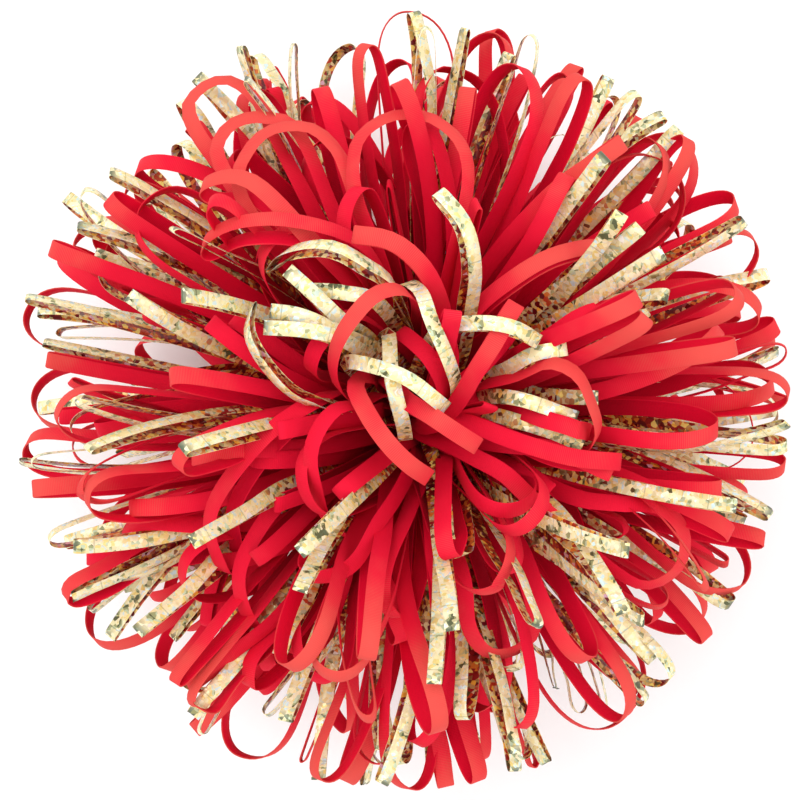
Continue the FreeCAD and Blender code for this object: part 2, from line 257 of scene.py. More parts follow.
class StripMesh:
    """Gathers the loops of one ring and one strip into a mesh.

    A layer holds the place along and across the strip in millimetres. The materials also read
    which face is the loop's inner one, how near a fold and how far from the knot a point is, for
    their painted shade, painted highlights and painted red reflection, and each loop's own shade.
    """

    # Painted shade covers a folded tip this far each way along the strip
    FOLD_LENGTH = 3.2 * MM
    # What is left of the depth that a strip would reach below the floor
    FLOOR_GIVE = 0.02

    def __init__(self, section):
        self.section = section
        self.points, self.faces, self.layers = [], [], []
        self.shades, self.aways, self.inner, self.folds = [], [], [], []

    def add(self, loop):
        """One closed strip: its skin, its two ends and its values for the materials."""
        path, run = loop["path"], loop["run"]
        tangent = unit_rows(np.gradient(path, axis=0))
        sides = square_to(loop["sides"], tangent)
        normal = np.cross(tangent, sides)
        a = np.array([p[0] for p in self.section])
        b = np.array([p[1] for p in self.section])
        ring = path[:, None] + sides[:, None] * a[None, :, None] + normal[:, None] * b[None, :, None]
        below = FLOOR_GAP - ring[..., 2]
        ring[..., 2] = np.where(below > 0, FLOOR_GAP + below * self.FLOOR_GIVE, ring[..., 2])
        base, wide = sum(len(p) for p in self.points), len(self.section)
        self.points.append(ring.reshape(-1, 3))
        rows = len(path)
        for i in range(rows - 1):
            for j in range(wide):
                k = (j + 1) % wide
                corners = ((i, j), (i + 1, j), (i + 1, k), (i, k))
                self.faces.append([base + r * wide + c for r, c in corners])
                self.layers.extend((run[r] / MM, self.section[c][0] / MM) for r, c in corners)
                self.inner.append(float(self.section[j][1] > 0 and self.section[k][1] > 0))
        for i, order in ((0, range(wide)), (rows - 1, range(wide - 1, -1, -1))):
            self.faces.append([base + i * wide + j for j in order])
            self.layers.extend((run[i] / MM, self.section[j][0] / MM) for j in order)
            self.inner.append(0.0)
        self.shades.extend([loop["shade"]] * (rows * wide))
        # How far from the knot each point is, which sets the painted shade and painted highlight; the
        # crown's loops count as further out, for more painted light
        away = np.linalg.norm(path - KNOT, axis=1) / REACH * loop["lit_reach"]
        self.aways.extend(np.repeat(away, wide))
        # Nearness to a folded tip, which sets the painted shade there
        from_fold = np.abs(run - run[-1] / 2) / self.FOLD_LENGTH
        self.folds.extend(np.repeat(np.exp(-from_fold ** 2) * loop["folded"], wide))

    def build(self, name, material):
        """The gathered loops as one piece."""
        mesh = bpy.data.meshes.new(name)
        mesh.from_pydata(np.concatenate(self.points).tolist(), [], self.faces)
        layer = mesh.uv_layers.new(name="strip")
        layer.data.foreach_set("uv", np.array(self.layers, np.float32).ravel())
        add_value(mesh, "shade", "POINT", self.shades)
        add_value(mesh, "inner", "FACE", self.inner)
        add_value(mesh, "fold", "POINT", self.folds)
        add_value(mesh, "away", "POINT", self.aways)
        mesh.materials.append(material)
        mesh.polygons.foreach_set("use_smooth", [True] * len(mesh.polygons))
        mesh.set_sharp_from_angle(angle=math.radians(50))
        mesh.validate()
        piece = bpy.data.objects.new(name, mesh)
        bpy.context.scene.collection.objects.link(piece)
        return piece


# ---------------------------------------------------------------- materials

# The ribbon's colour from the knot outwards: painted shade deep in the ball, and a painted coral highlight
# on the outermost parts
RED_SHADE_TO_HIGHLIGHT = [
    (0.20, (0.40, 0.003, 0.016)),
    (0.50, (0.67, 0.002, 0.026)),
    (0.84, (0.74, 0.010, 0.036)),
    (1.00, (0.70, 0.075, 0.062)),
]
# Flakes of the film, each colour over its share of the mosaic; the near-white flakes at the top are painted
# glints
GOLD_FLAKES = [
    (0.00, (0.09, 0.10, 0.04)),
    (0.09, (0.32, 0.34, 0.16)),
    (0.18, (0.52, 0.60, 0.40)),
    (0.26, (0.78, 0.62, 0.22)),
    (0.34, (0.82, 0.73, 0.41)),
    (0.50, (0.86, 0.79, 0.52)),
    (0.70, (0.62, 0.78, 0.78)),
    (0.77, (0.88, 0.80, 0.44)),
    (0.89, (0.80, 0.66, 0.40)),
    (0.93, (0.93, 0.88, 0.78)),
]
# The film's flakes under painted red reflection and painted shade, deep in the ball and on its inner face
RED_REFLECTION_FLAKES = [
    (0.00, (0.14, 0.006, 0.010)),
    (0.24, (0.30, 0.012, 0.012)),
    (0.50, (0.50, 0.050, 0.016)),
    (0.68, (0.74, 0.200, 0.030)),
    (0.79, (0.92, 0.480, 0.060)),
    (0.88, (0.97, 0.780, 0.200)),
    (0.96, (0.76, 0.420, 0.520)),
]
# What the film's colours are mixed with: a painted red reflection below its outermost part, painted shade
# at a crease and painted shade at a fold
RED_REFLECTION_TINT = (0.92, 0.74, 0.44, 1.0)
CREASE_SHADE = (0.30, 0.27, 0.14, 1.0)
FOLD_SHADE = (0.10, 0.12, 0.07, 1.0)


def new_material(name):
    """A new node material, its tree and its shader."""
    material = bpy.data.materials.new(name)
    material.use_nodes = True
    tree = material.node_tree
    return material, tree, tree.nodes["Principled BSDF"]


def node(tree, kind, inputs=(), **settings):
    """A new node with its settings and its input values or links."""
    made = tree.nodes.new(kind)
    for key, value in settings.items():
        setattr(made, key, value)
    for key, value in dict(inputs).items():
        socket = made.inputs[key]
        if isinstance(value, bpy.types.NodeSocket):
            tree.links.new(value, socket)
        else:
            socket.default_value = value
    return made


def math_node(tree, operation, first, second=0.5):
    """One sum on one or two values."""
    return node(tree, "ShaderNodeMath", {0: first, 1: second}, operation=operation).outputs[0]


def scaled(tree, value, factor):
    """A value times a number."""
    return math_node(tree, "MULTIPLY", value, factor)


def total(tree, first, *others):
    """Values added up, in their order."""
    for other in others:
        first = math_node(tree, "ADD", first, other)
    return first


def about_middle(tree, value, factor):
    """A value from 0 to 1 made to swing about nought, times a number."""
    return scaled(tree, math_node(tree, "SUBTRACT", value, 0.5), factor)


def stepped(tree, value, low, high):
    """A value carried from 0 at one level to 1 at another."""
    ranged = node(tree, "ShaderNodeMapRange", {"Value": value, "From Min": low, "From Max": high})
    return ranged.outputs[0]


def colour_ramp(tree, value, stops, interpolation="LINEAR"):
    """Colours for a value from 0 to 1, given as (place, colour) stops."""
    ramp = node(tree, "ShaderNodeValToRGB", {"Fac": value})
    ramp.color_ramp.interpolation = interpolation
    marks = ramp.color_ramp.elements
    while len(marks) < len(stops):
        marks.new(0.5)
    for mark, (place, colour) in zip(marks, stops):
        mark.position = place
        mark.color = (*colour, 1.0)
    return ramp.outputs["Color"]


def mix_colours(tree, share, first, second, blend="MIX"):
    """Two colours mixed by a share from 0 to 1."""
    mixed = node(tree, "ShaderNodeMix", {"Factor": share, "A": first, "B": second},
                 data_type="RGBA", blend_type=blend)
    return mixed.outputs["Result"]


def read_value(tree, name):
    """A named number that the mesh carries."""
    return node(tree, "ShaderNodeAttribute", attribute_name=name).outputs["Fac"]


def strip_coordinates(tree):
    """Millimetres along the strip, and a place on it that differs from loop to loop."""
    layer = node(tree, "ShaderNodeUVMap", uv_map="strip").outputs["UV"]
    longest_shift = 900.0
    shift = scaled(tree, read_value(tree, "shade"), longest_shift)
    moved = node(tree, "ShaderNodeCombineXYZ", {"X": shift, "Y": shift}).outputs[0]
    place = node(tree, "ShaderNodeVectorMath", {0: layer, 1: moved}, operation="ADD").outputs[0]
    return node(tree, "ShaderNodeSeparateXYZ", {0: layer}).outputs["X"], place


def red_ribbon_material():
    """Soft matt ribbon with fine ribs across it, with painted shade deeper where it dives into the ball and
    on its inner faces, and a painted coral highlight at its outer ends.
    """
    material, tree, shader = new_material("red_ribbon_cloth")
    along, place = strip_coordinates(tree)
    rib_pitch = 0.62
    ribs = math_node(tree, "SINE", scaled(tree, along, FULL_TURN / rib_pitch))
    fuzz = node(tree, "ShaderNodeTexNoise", {"Vector": place, "Scale": 2.4, "Detail": 3.0}).outputs["Fac"]
    mottle = node(tree, "ShaderNodeTexNoise", {"Vector": place, "Scale": 0.06, "Detail": 2.0})
    # Painted shade on the inner faces of the loops
    inner_shade = scaled(tree, read_value(tree, "inner"), -0.32)
    loop_shade = scaled(tree, read_value(tree, "shade"), 0.14)
    # Painted shade and painted highlight by distance from the knot, on top of the ribbon's mottle, ribs and
    # each loop's own tone
    tone = total(tree, about_middle(tree, mottle.outputs["Fac"], 0.25), scaled(tree, ribs, 0.05),
                 inner_shade, loop_shade, -0.06, read_value(tree, "away"))
    tree.links.new(colour_ramp(tree, tone, RED_SHADE_TO_HIGHLIGHT), shader.inputs["Base Color"])
    relief = total(tree, scaled(tree, ribs, 0.5), scaled(tree, fuzz, 0.8))
    bump = node(tree, "ShaderNodeBump", {"Strength": 0.4, "Distance": 0.08 * MM, "Height": relief})
    tree.links.new(bump.outputs[0], shader.inputs["Normal"])
    tree.links.new(total(tree, scaled(tree, fuzz, 0.2), 0.62), shader.inputs["Roughness"])
    shader.inputs["Specular IOR Level"].default_value = 0.06
    shader.inputs["Sheen Weight"].default_value = 0.03
    shader.inputs["Sheen Roughness"].default_value = 0.4
    shader.inputs["Sheen Tint"].default_value = (1.0, 0.35, 0.3, 1.0)
    return material


def foil_colour(tree, flakes, along, place):
    """The film's mosaic: pale gold outside, with a painted copper-red reflection and painted shade on its
    inner face and deep in the ball.
    """
    draw = node(tree, "ShaderNodeSeparateXYZ", {0: flakes})
    clouds = node(tree, "ShaderNodeTexNoise", {"Vector": place, "Scale": 0.11, "Detail": 2.0})
    patch = about_middle(tree, clouds.outputs["Fac"], 1.5)
    spread = total(tree, scaled(tree, draw.outputs["X"], 0.62), patch, 0.19)
    pale = colour_ramp(tree, spread, GOLD_FLAKES, "CONSTANT")
    deep = colour_ramp(tree, draw.outputs["X"], RED_REFLECTION_FLAKES, "CONSTANT")
    # Painted red reflection and painted shade, growing towards the knot and on the inner face
    depth = node(tree, "ShaderNodeMapRange", {"Value": read_value(tree, "away"), "From Min": 0.42,
                                              "From Max": 0.88, "To Min": 1.0, "To Max": 0.0})
    shade_and_reflection = total(tree, depth.outputs[0], scaled(tree, read_value(tree, "inner"), 0.60),
                 about_middle(tree, draw.outputs["Z"], 0.66))
    warm_reflection = mix_colours(tree, 1.0, pale, RED_REFLECTION_TINT, "MULTIPLY")
    first_warm, all_warm, first_deep, all_deep = 0.1, 0.55, 0.46, 0.68
    colour = mix_colours(tree, stepped(tree, shade_and_reflection, first_warm, all_warm), pale, warm_reflection)
    colour = mix_colours(tree, stepped(tree, shade_and_reflection, first_deep, all_deep), colour, deep)
    # Painted shade along thin crosswise creases
    creases_per_mm, crease_shift = 0.05, 50.0
    turns = total(tree, scaled(tree, along, creases_per_mm),
                  scaled(tree, read_value(tree, "shade"), crease_shift))
    crease = node(tree, "ShaderNodeTexVoronoi", {"W": turns, "Scale": 1.0},
                  voronoi_dimensions="1D", feature="DISTANCE_TO_EDGE").outputs["Distance"]
    crease = scaled(tree, math_node(tree, "LESS_THAN", crease, 0.012), 0.5)
    colour = mix_colours(tree, crease, colour, CREASE_SHADE)
    # Painted shade on some of the flakes at a folded tip
    shaded_flakes = math_node(tree, "GREATER_THAN", draw.outputs["Y"], 0.55)
    return mix_colours(tree, scaled(tree, read_value(tree, "fold"), shaded_flakes), colour, FOLD_SHADE)


def flake_normal(tree, flakes, place):
    """Each flake lies at a small tilt of its own, on a film with long soft creases."""
    centred = node(tree, "ShaderNodeVectorMath", {0: flakes, 1: (0.5, 0.5, 0.5)}, operation="SUBTRACT")
    tilt = node(tree, "ShaderNodeVectorMath", {0: centred.outputs[0], "Scale": 0.30}, operation="SCALE")
    facing = node(tree, "ShaderNodeNewGeometry").outputs["Normal"]
    tilted = node(tree, "ShaderNodeVectorMath", {0: facing, 1: tilt.outputs[0]}, operation="ADD")
    tilted = node(tree, "ShaderNodeVectorMath", {0: tilted.outputs[0]}, operation="NORMALIZE")
    squeezed = node(tree, "ShaderNodeMapping", {"Vector": place, "Scale": (1.0, 0.12, 1.0)}).outputs[0]
    creases = node(tree, "ShaderNodeTexNoise", {"Vector": squeezed, "Scale": 0.35, "Detail": 3.0})
    bump = node(tree, "ShaderNodeBump", {"Strength": 0.4, "Distance": 0.3 * MM,
                                         "Height": creases.outputs["Fac"], "Normal": tilted.outputs[0]})
    return bump.outputs[0]


def gold_foil_material():
    """Thin metallised film with a mosaic of small flakes that each catch the light their own way, by their
    tilt and with painted glints among their colours.
    """
    material, tree, shader = new_material("gold_foil_film")
    along, place = strip_coordinates(tree)
    mosaic = node(tree, "ShaderNodeTexVoronoi", {"Vector": place, "Scale": 0.60, "Randomness": 1.0})
    flakes = mosaic.outputs["Color"]
    tree.links.new(foil_colour(tree, flakes, along, place), shader.inputs["Base Color"])
    tree.links.new(flake_normal(tree, flakes, place), shader.inputs["Normal"])
    draw = node(tree, "ShaderNodeSeparateXYZ", {0: flakes}).outputs["Y"]
    tree.links.new(total(tree, scaled(tree, draw, 0.2), 0.22), shader.inputs["Roughness"])
    shader.inputs["Metallic"].default_value = 0.22
    return material


def moulded_material(name, light, dark, roughness, grain, depth):
    """A moulded or rolled material: two close tones, a fine grain and uneven gloss."""
    material, tree, shader = new_material(name)
    place = node(tree, "ShaderNodeTexCoord").outputs["Object"]
    fine = node(tree, "ShaderNodeTexNoise", {"Vector": place, "Scale": grain, "Detail": 4.0})
    broad = node(tree, "ShaderNodeTexNoise", {"Vector": place, "Scale": grain / 12, "Detail": 2.0})
    colour = colour_ramp(tree, broad.outputs["Fac"], [(0.3, dark), (0.7, light)])
    tree.links.new(colour, shader.inputs["Base Color"])
    uneven = 0.2
    rough = node(tree, "ShaderNodeMath", {0: broad.outputs["Fac"], 1: uneven, 2: roughness - uneven / 2},
                 operation="MULTIPLY_ADD")
    tree.links.new(rough.outputs[0], shader.inputs["Roughness"])
    bump = node(tree, "ShaderNodeBump", {"Strength": 0.3, "Distance": depth, "Height": fine.outputs["Fac"]})
    tree.links.new(bump.outputs[0], shader.inputs["Normal"])
    return material, shader


red_cloth = red_ribbon_material()
gold_film = gold_foil_material()

# ---------------------------------------------------------------- the ball of loops

# A round tip's opening over the length that it turns in, and the least opening that isn't folded
ROUND_TIP = 1.7
LEAST_ROUND = 6
STRIPS = {
    "red": {"material": red_cloth, "section": strip_section(RED_WIDTH, RED_THICKNESS, 0.35 * MM),
            "slot": "red_ribbon"},
    "gold": {"material": gold_film, "section": strip_section(GOLD_WIDTH, GOLD_THICKNESS, 0.08 * MM),
             "slot": "gold_foil"},
}


def tied_loop(kind, start, end, reach, opening, face, folded, twist, unevenness=1.0):
    """One loop from the knot: directions at its root and tip, reach and opening in millimetres.

    face is how far its flat side turns away from the plane it bends in, and twist how far it
    turns on the way, in degrees. A folded loop is pressed flat at its end and the others end in a
    round bend. unevenness scales the small bends of its middle line.
    """
    out_of_middle, root_depth, root_spread = 4 * MM, 7 * MM, 3
    root = KNOT + (start + end) * out_of_middle + ROOT_OFFSET * max(0.0, end[2] + 0.3)
    root = root + np.array([rng.gauss(0, root_spread) for _ in range(3)]) * MM
    tip = rng.uniform(1.2, 2.0) * MM if folded else opening / ROUND_TIP * MM
    belly_share = 0.05 if folded else 0.14
    wave = (rng.uniform(0.02, 0.10) * unevenness, rng.uniform(0, 6.28), rng.uniform(2, 5),
            rng.uniform(0.02, 0.09) * unevenness, rng.uniform(0, 6.28), rng.uniform(2, 5))
    reach = reach * MM - root_depth
    spine = bent_spine(root, start, end, reach, math.radians(face), math.radians(twist), wave)
    path, sides, run = doubled_back(*spine, reach, tip, rng.uniform(50, 80) * MM, belly_share,
                                    opening * MM, rng.uniform(-0.25, 0.25))
    return {"kind": kind, "path": path, "sides": sides, "run": run, "shade": rng.random(),
            "folded": float(folded), "lit_reach": 1.0}


def drawn_loop(kind, opening, facing, marks):
    """A loop of the crown through chosen marks, in millimetres from the knot, root first.

    The strip doubles back under itself at the last mark, opening millimetres apart, and its flat
    face looks roughly the way of facing.
    """
    marks = [DRAWN_ROOT, *marks]
    spine, reach = smooth_line([KNOT + np.array(m) * MM for m in marks], SPINE_STEPS)
    fronts, sides = facing_frames(spine, np.array(facing, float))
    folded = opening < LEAST_ROUND
    tip = 1.6 * MM if folded else opening / ROUND_TIP * MM
    belly, belly_share, lopsided = 60 * MM, 0.08, 0.0
    path, sides, run = doubled_back(spine, fronts, sides, reach, tip, belly, belly_share,
                                    opening * MM, lopsided)
    return {"kind": kind, "path": path, "sides": sides, "run": run, "shade": rng.random(),
            "folded": float(folded), "lit_reach": CROWN_LIT_REACH,
            "ring": ring_at(marks[-1])}


def arching_loop(kind, middle, marks):
    """A wide open loop of the crown, whose flat face looks away from its own middle point."""
    marks = [DRAWN_ROOT, *marks, DRAWN_ROOT]
    path, length = smooth_line([KNOT + np.array(m) * MM for m in marks], 2 * HALF_STEPS)
    outward = path - (KNOT + np.array(middle) * MM)
    sides = facing_frames(path, outward)[1]
    return {"kind": kind, "path": path, "sides": sides, "run": np.linspace(0, length, len(path)),
            "shade": rng.random(), "folded": 0.0, "lit_reach": CROWN_LIT_REACH,
            "ring": ring_at(marks[len(marks) // 2])}


def placed_loop(kind, azimuth, radius, opening, face, folded=False, swing=0.0, bend=14.0):
    """A loop of the front: azimuth and tip radius as seen from the front, in degrees and mm.

    All of these reach the ball's outer surface, so the radius gives how far each leans forward.
    The root is bend degrees nearer the crown than the tip, and swing turns the two apart sideways.
    """
    lean = math.degrees(math.acos(min(0.99, radius / FRONT_REACH)))
    swing = swing + rng.gauss(0, 17)
    start = direction(azimuth - swing, min(89.0, lean + bend * 0.6))
    end = direction(azimuth + swing * 0.3, lean - bend * 0.4)
    side = 1 if rng.random() < 0.5 else -1
    longer_when_bent = 1 + 0.0009 * bend
    face = side * (face + abs(rng.gauss(0, 14)))
    loop = tied_loop(kind, start, end, FRONT_REACH * longer_when_bent, opening, face, folded,
                     rng.gauss(0, 16))
    loop["ring"] = ring_of(lean)
    return loop


def random_loop(kind, azimuth, elevation):
    """One loop of the ball's depth: uneven length, opening, fold, bend and twist."""
    rise = math.sin(math.radians(elevation))
    front = max(0.0, rise)
    swing = rng.gauss(0, 24)
    bend = rng.uniform(-12, 20) + front * rng.uniform(5, 55)
    start = direction(azimuth - swing * 0.6, min(86.0, elevation + bend * 0.6))
    end = direction(azimuth + swing * 0.4, elevation - bend * 0.5)
    shortfall = 0.16 * rng.random() ** 2
    reach = REACH / MM * (1.0 - shortfall - front * (0.10 + 0.22 * rng.random()))
    if elevation < -30:
        above_floor = 4
        reach = min(reach, (KNOT[2] / MM - above_floor) / -rise)
    gold = kind == "gold"
    folded = rng.random() < (0.5 if gold else 0.22)
    opening = rng.uniform(2, 6) if folded else rng.uniform(9, 18 if gold else 32)
    face = rng.gauss(0, 26 if folded else 44) + (180 if rng.random() < 0.5 else 0)
    shows_at_rim = elevation < 25
    if not folded and shows_at_rim and rng.random() < 0.5:
        opening = rng.uniform(16, 26 if gold else 42)
        face = rng.choice((-1, 1)) * rng.uniform(45, 82)
    loop = tied_loop(kind, start, end, reach, opening, face, folded, rng.gauss(0, 24), 1.3)
    loop["ring"] = ring_of(elevation)
    return loop


def ring_of(elevation):
    """The ring that a loop at this elevation belongs to."""
    return int(min(RINGS - 1, max(0, round((elevation - LOWEST_RING) / RING_STEP))))


def ring_at(mark):
    """The ring of a loop whose far end is at a mark, in millimetres from the knot."""
    return ring_of(math.degrees(math.asin(unit(np.array(mark))[2])))


# Loops of the front: azimuth, tip radius, opening, face, folded, swing, bend
RED_FRONT = [
    (104, 131, 15, 40), (99, 138, 13, 50), (91, 149, 28, 72), (133, 113, 14, 30, False, 12, 24),
    (149, 136, 13, 18), (161, 144, 14, 34, False, 8), (168, 103, 11, 18, False, 8, 26),
    (175, 134, 22, 74), (179, 127, 20, 70), (188, 136, 14, 26, False, 6), (201, 126, 16, 40),
    (209, 146, 12, 22), (222, 138, 5, 8, True), (228, 135, 8, 20), (233, 139, 16, 50),
    (244, 143, 16, 45), (251, 106, 26, 60, False, 16, 24), (246, 98, 22, 58, False, 14, 24),
    (259, 100, 14, 35, False, 6, 22), (268, 147, 26, 74), (278, 149, 8, 14), (288, 148, 14, 40),
    (289, 116, 28, 58, False, -8), (306, 146, 26, 50), (309, 124, 5, 6, True),
    (322, 149, 32, 74, False, -8), (351, 149, 14, 36), (344, 149, 10, 58), (358, 140, 18, 50),
    (15, 146, 12, 22), (21, 97, 16, 30, False, -6, 26), (24, 92, 10, 26, False, -4, 28),
    (20, 111, 18, 64, False, -8), (24, 149, 26, 76, False, -18), (28, 147, 24, 72, False, -16),
    (43, 126, 14, 35), (53, 149, 18, 46), (67, 136, 16, 42), (200, 100, 14, 30, False, 10, 26),
    (274, 118, 10, 16), (6, 118, 16, 40),
]
GOLD_FRONT = [
    (111, 146, 4, 6, True), (96, 146, 5, 20, True), (130, 148, 4, 10, True), (137, 141, 12, 42),
    (121, 132, 4, 10, True), (152, 141, 4, 8, True), (156, 143, 4, 6, True), (153, 120, 4, 4, True),
    (150, 116, 5, 6, True), (165, 147, 4, 5, True), (162, 96, 4, 4, True, 4, 24),
    (170, 125, 6, 16, True), (177, 149, 3, 2, True), (183, 140, 9, 28), (191, 139, 6, 20, True),
    (195, 118, 4, 3, True), (199, 142, 10, 34), (207, 142, 4, 6, True), (215, 128, 4, 5, True),
    (235, 134, 4, 8, True), (242, 142, 6, 20, True), (229, 76, 4, 4, True, 6, 26),
    (233, 71, 4, 8, True, 6, 26), (265, 97, 4, 6, True), (260, 143, 4, 5, True),
    (257, 139, 5, 10, True), (279, 141, 4, 6, True), (284, 131, 4, 5, True), (296, 149, 4, 6, True),
    (297, 93, 6, 10, True, -10, 22), (304, 95, 6, 10, True, -10, 22), (310, 149, 8, 28, True),
    (319, 148, 20, 52), (323, 99, 4, 5, True), (329, 149, 10, 32, True), (337, 145, 6, 10, True, -10),
    (340, 94, 4, 3, True, 0, 22), (350, 117, 5, 6, True), (355, 135, 9, 36), (11, 134, 3, 2, True),
    (18, 149, 10, 32), (32, 106, 4, 4, True), (35, 149, 5, 6, True), (33, 144, 6, 12, True),
    (43, 111, 8, 26), (45, 149, 12, 38), (51, 104, 8, 24), (56, 108, 6, 16, True), (56, 139, 9, 32),
    (61, 148, 4, 8, True), (73, 143, 10, 36), (79, 146, 3, 3, True), (86, 134, 9, 36),
    (186, 98, 5, 8, True, 8, 26), (248, 118, 5, 12, True), (272, 80, 5, 10, True, 4, 24),
    (210, 92, 5, 8, True),
]
# Where the crown's loops leave the knot, in millimetres from its middle
DRAWN_ROOT = (8.0, -6.0, 12.0)
UPWARD = (0.0, 0.0, 1.0)
# The crown's loops get the painted light of loops this much further from the knot elsewhere
CROWN_LIT_REACH = 1.10
# The tangle of the crown: kind, opening, the way its face looks, marks out to the tip
DRAWN = [
    ("red", 7, UPWARD, [(14, 20, 60), (14, 31, 92), (9, 44, 112), (-2, 54, 120), (-16, 57, 116)]),
    ("gold", 4, (0.2, 0.6, 0.7), [(4, 20, 70), (-2, 39, 106), (-12, 46, 116), (-24, 52, 118),
                                  (-38, 51, 108), (-45, 46, 96)]),
    ("red", 10, (0, 0.6, 0.8), [(0, 20, 50), (-14, 50, 92), (-35, 59, 104), (-55, 59, 100), (-69, 52, 88)]),
    ("gold", 6, (0.3, 0.1, 1), [(20, 10, 60), (24, 34, 92), (25, 46, 104), (22, 60, 112), (13, 72, 112)]),
    ("gold", 4, UPWARD, [(6, 10, 70), (14, 23, 108), (26, 26, 120), (38, 25, 120), (48, 20, 114)]),
    ("gold", 6, UPWARD, [(20, 5, 60), (36, 9, 92), (47, 16, 106), (58, 18, 108)]),
    ("gold", 3, UPWARD, [(-10, 6, 60), (-18, 13, 106), (-7, 11, 126), (3, 7, 129), (11, 1, 124),
                         (16, -3, 114)]),
    ("gold", 3, UPWARD, [(-6, 14, 60), (-4, 22, 102), (-3, 9, 115), (-1, 0, 115), (1, -8, 108),
                         (2, -14, 94)]),
    ("red", 4, UPWARD, [(14, -6, 60), (20, 1, 96), (26, 10, 112), (33, 21, 120), (40, 33, 118)]),
    ("red", 5, UPWARD, [(-6, 8, 60), (-15, 5, 104), (-11, -5, 118), (-4, -15, 122), (3, -22, 118),
                        (10, -27, 108)]),
    ("red", 4, UPWARD, [(-4, 8, 70), (2, 0, 108), (10, -5, 118), (19, -11, 118), (27, -16, 112)]),
    ("red", 12, (-0.4, 0.3, 1), [(-10, 0, 50), (-28, -3, 92), (-42, -10, 100), (-55, -24, 94),
                                 (-64, -42, 80), (-62, -60, 62)]),
    ("gold", 3, (-0.8, -0.4, 0.6), [(-8, -6, 60), (-24, -2, 96), (-36, 2, 106), (-46, 12, 112),
                                    (-52, 23, 112), (-51, 33, 106)]),
    ("gold", 4, UPWARD, [(-4, 10, 70), (-20, 21, 112), (-33, 24, 118), (-47, 25, 114)]),
    ("gold", 3, UPWARD, [(-2, 14, 70), (-20, 22, 104), (-34, 29, 112), (-45, 31, 108)]),
    ("gold", 3, UPWARD, [(-4, 14, 70), (-20, 27, 106), (-29, 36, 114), (-39, 45, 112)]),
    ("gold", 3, UPWARD, [(2, 20, 70), (-8, 34, 104), (-19, 37, 112), (-30, 38, 108)]),
    ("red", 4, (-0.3, 0.3, 1), [(14, 10, 50), (26, 30, 84), (40, 42, 98), (54, 50, 98), (71, 54, 88)]),
    ("gold", 3, UPWARD, [(16, -2, 60), (38, 1, 98), (62, -7, 100)]),
    ("gold", 3, UPWARD, [(16, -6, 60), (39, -6, 90), (65, -16, 94)]),
    ("red", 10, UPWARD, [(10, -8, 60), (22, -6, 84), (40, -14, 94), (60, -20, 94), (78, -22, 84)]),
    ("red", 5, UPWARD, [(8, -10, 50), (26, -20, 86), (40, -28, 94), (60, -48, 88)]),
    ("red", 4, UPWARD, [(10, -10, 50), (34, -14, 84), (56, -18, 92), (75, -26, 88)]),
    ("red", 13, (-0.2, 0.5, 0.8), [(0, 16, 50), (-30, 52, 92), (-52, 74, 92), (-70, 74, 82)]),
]
# The wide arches of the front: kind, middle point, marks along the strip, in millimetres again
ARCHES = [
    ("red", (-62, 98, 36), [(-12, 28, 46), (-62, 82, 60), (-77, 104, 58), (-73, 114, 54), (-63, 118, 52),
                            (-53, 112, 54), (-46, 100, 58), (-28, 62, 60)]),
    ("red", (-52, 88, 46), [(-10, 24, 50), (-52, 68, 72), (-65, 86, 70), (-65, 95, 67), (-58, 102, 64),
                            (-47, 103, 66), (-36, 96, 68), (-20, 58, 66)]),
    ("red", (-38, 80, 58), [(-10, 20, 50), (-46, 58, 84), (-57, 76, 84), (-54, 89, 80), (-46, 97, 76),
                            (-33, 98, 75), (-24, 91, 78), (-18, 79, 84), (-8, 46, 76)]),
    ("red", (2, 84, 64), [(0, 24, 56), (-14, 68, 90), (-16, 88, 86), (-11, 97, 82), (0, 102, 80),
                          (14, 99, 82), (24, 84, 88), (20, 52, 84)]),
    ("red", (-40, -66, 42), [(-18, -18, 50), (-42, -36, 78), (-52, -50, 79), (-58, -66, 72), (-54, -81, 62),
                             (-43, -90, 54), (-29, -93, 51), (-22, -70, 54), (-12, -36, 44)]),
    ("red", (88, -52, 42), [(28, -18, 50), (60, -34, 70), (77, -37, 74), (93, -38, 71), (103, -48, 64),
                            (102, -61, 57), (91, -68, 53), (78, -62, 53), (50, -38, 46)]),
    ("red", (36, -78, 44), [(10, -30, 50), (22, -62, 74), (25, -82, 68), (33, -93, 61), (44, -92, 57),
                            (49, -80, 59), (38, -46, 58)]),
    ("red", (-4, 14, 92), [(-17, 0, 86), (-23, 8, 106), (-22, 18, 122), (-16, 28, 131), (-8, 36, 131),
                           (1, 38, 124), (6, 34, 108), (6, 24, 70)]),
    ("red", (-14, -24, 84), [(-5, 2, 70), (-14, -1, 102), (-22, -3, 112), (-28, -10, 115), (-31, -19, 113),
                             (-30, -29, 107), (-26, -41, 94), (-17, -49, 80), (-8, -38, 56)]),
    ("red", (48, -8, 88), [(28, 6, 84), (43, 10, 104), (52, 13, 112), (61, 9, 113), (66, 0, 107),
                           (68, -11, 98), (60, -22, 80), (34, -18, 46)]),
    ("gold", (4, 18, 88), [(10, -4, 60), (20, 2, 98), (17, 13, 118), (11, 26, 125), (6, 37, 118),
                           (0, 36, 92)]),
]


def front_loops():
    """The loops that show on the front of the ball."""
    loops = [placed_loop("red", *row) for row in RED_FRONT]
    loops += [placed_loop("gold", *row) for row in GOLD_FRONT]
    loops += [drawn_loop(*row) for row in DRAWN]
    return loops + [arching_loop(*row) for row in ARCHES]


